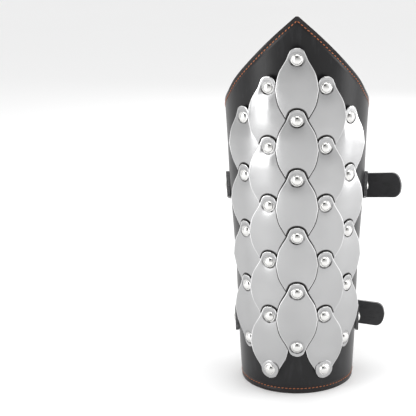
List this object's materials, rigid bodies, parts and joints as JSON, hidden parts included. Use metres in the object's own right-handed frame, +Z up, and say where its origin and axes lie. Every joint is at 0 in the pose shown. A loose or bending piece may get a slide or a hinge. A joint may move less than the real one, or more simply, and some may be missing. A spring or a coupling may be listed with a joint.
{
  "type": "leather bracer",
  "caption": "Pointed leather forearm guard faced with overlapping riveted steel scales and closed at the back by two buckled straps.",
  "frame": {"origin": "middle of the bounding box's base, on the surface that the wrist rim stands on", "axes": "+Z up the forearm from the wrist rim to the elbow point, -Y out of the steel scales, +X towards the straps' free tails"},
  "size_m": [0.1162, 0.1034, 0.2395],
  "materials": {
    "leather": "smooth finished black leather with orange edge stitching",
    "strap_leather": "dark grey coated strap leather",
    "polished_steel": "polished steel sheet",
    "nickel_plate": "bright nickel plate"
  },
  "bodies": {
    "root": {"leather_shell": "leather", "scale_outer_left_1": "polished_steel", "scale_outer_left_2": "polished_steel", "scale_outer_left_3": "polished_steel", "scale_outer_left_4": "polished_steel", "end_rivet_outer_left": "nickel_plate", "scale_left_1": "polished_steel", "scale_left_2": "polished_steel", "scale_left_3": "polished_steel", "scale_left_4": "polished_steel", "scale_left_5": "polished_steel", "end_scale_left": "polished_steel", "scale_centre_1": "polished_steel", "scale_centre_2": "polished_steel", "scale_centre_3": "polished_steel", "scale_centre_4": "polished_steel", "scale_centre_5": "polished_steel", "end_rivet_centre": "nickel_plate", "scale_right_1": "polished_steel", "scale_right_2": "polished_steel", "scale_right_3": "polished_steel", "scale_right_4": "polished_steel", "scale_right_5": "polished_steel", "end_scale_right": "polished_steel", "scale_outer_right_1": "polished_steel", "scale_outer_right_2": "polished_steel", "scale_outer_right_3": "polished_steel", "scale_outer_right_4": "polished_steel", "end_rivet_outer_right": "nickel_plate", "long_strap_upper": "strap_leather", "short_strap_upper": "strap_leather", "buckle_frame_upper": "nickel_plate", "buckle_roller_upper": "nickel_plate", "buckle_prong_upper": "nickel_plate", "keeper_upper": "nickel_plate", "strap_rivet_left_upper": "nickel_plate", "strap_rivet_right_upper": "nickel_plate", "fold_rivet_upper": "nickel_plate", "long_strap_lower": "strap_leather", "short_strap_lower": "strap_leather", "buckle_frame_lower": "nickel_plate", "buckle_roller_lower": "nickel_plate", "buckle_prong_lower": "nickel_plate", "keeper_lower": "nickel_plate", "strap_rivet_left_lower": "nickel_plate", "strap_rivet_right_lower": "nickel_plate", "fold_rivet_lower": "nickel_plate"}
  },
  "joints": []
}
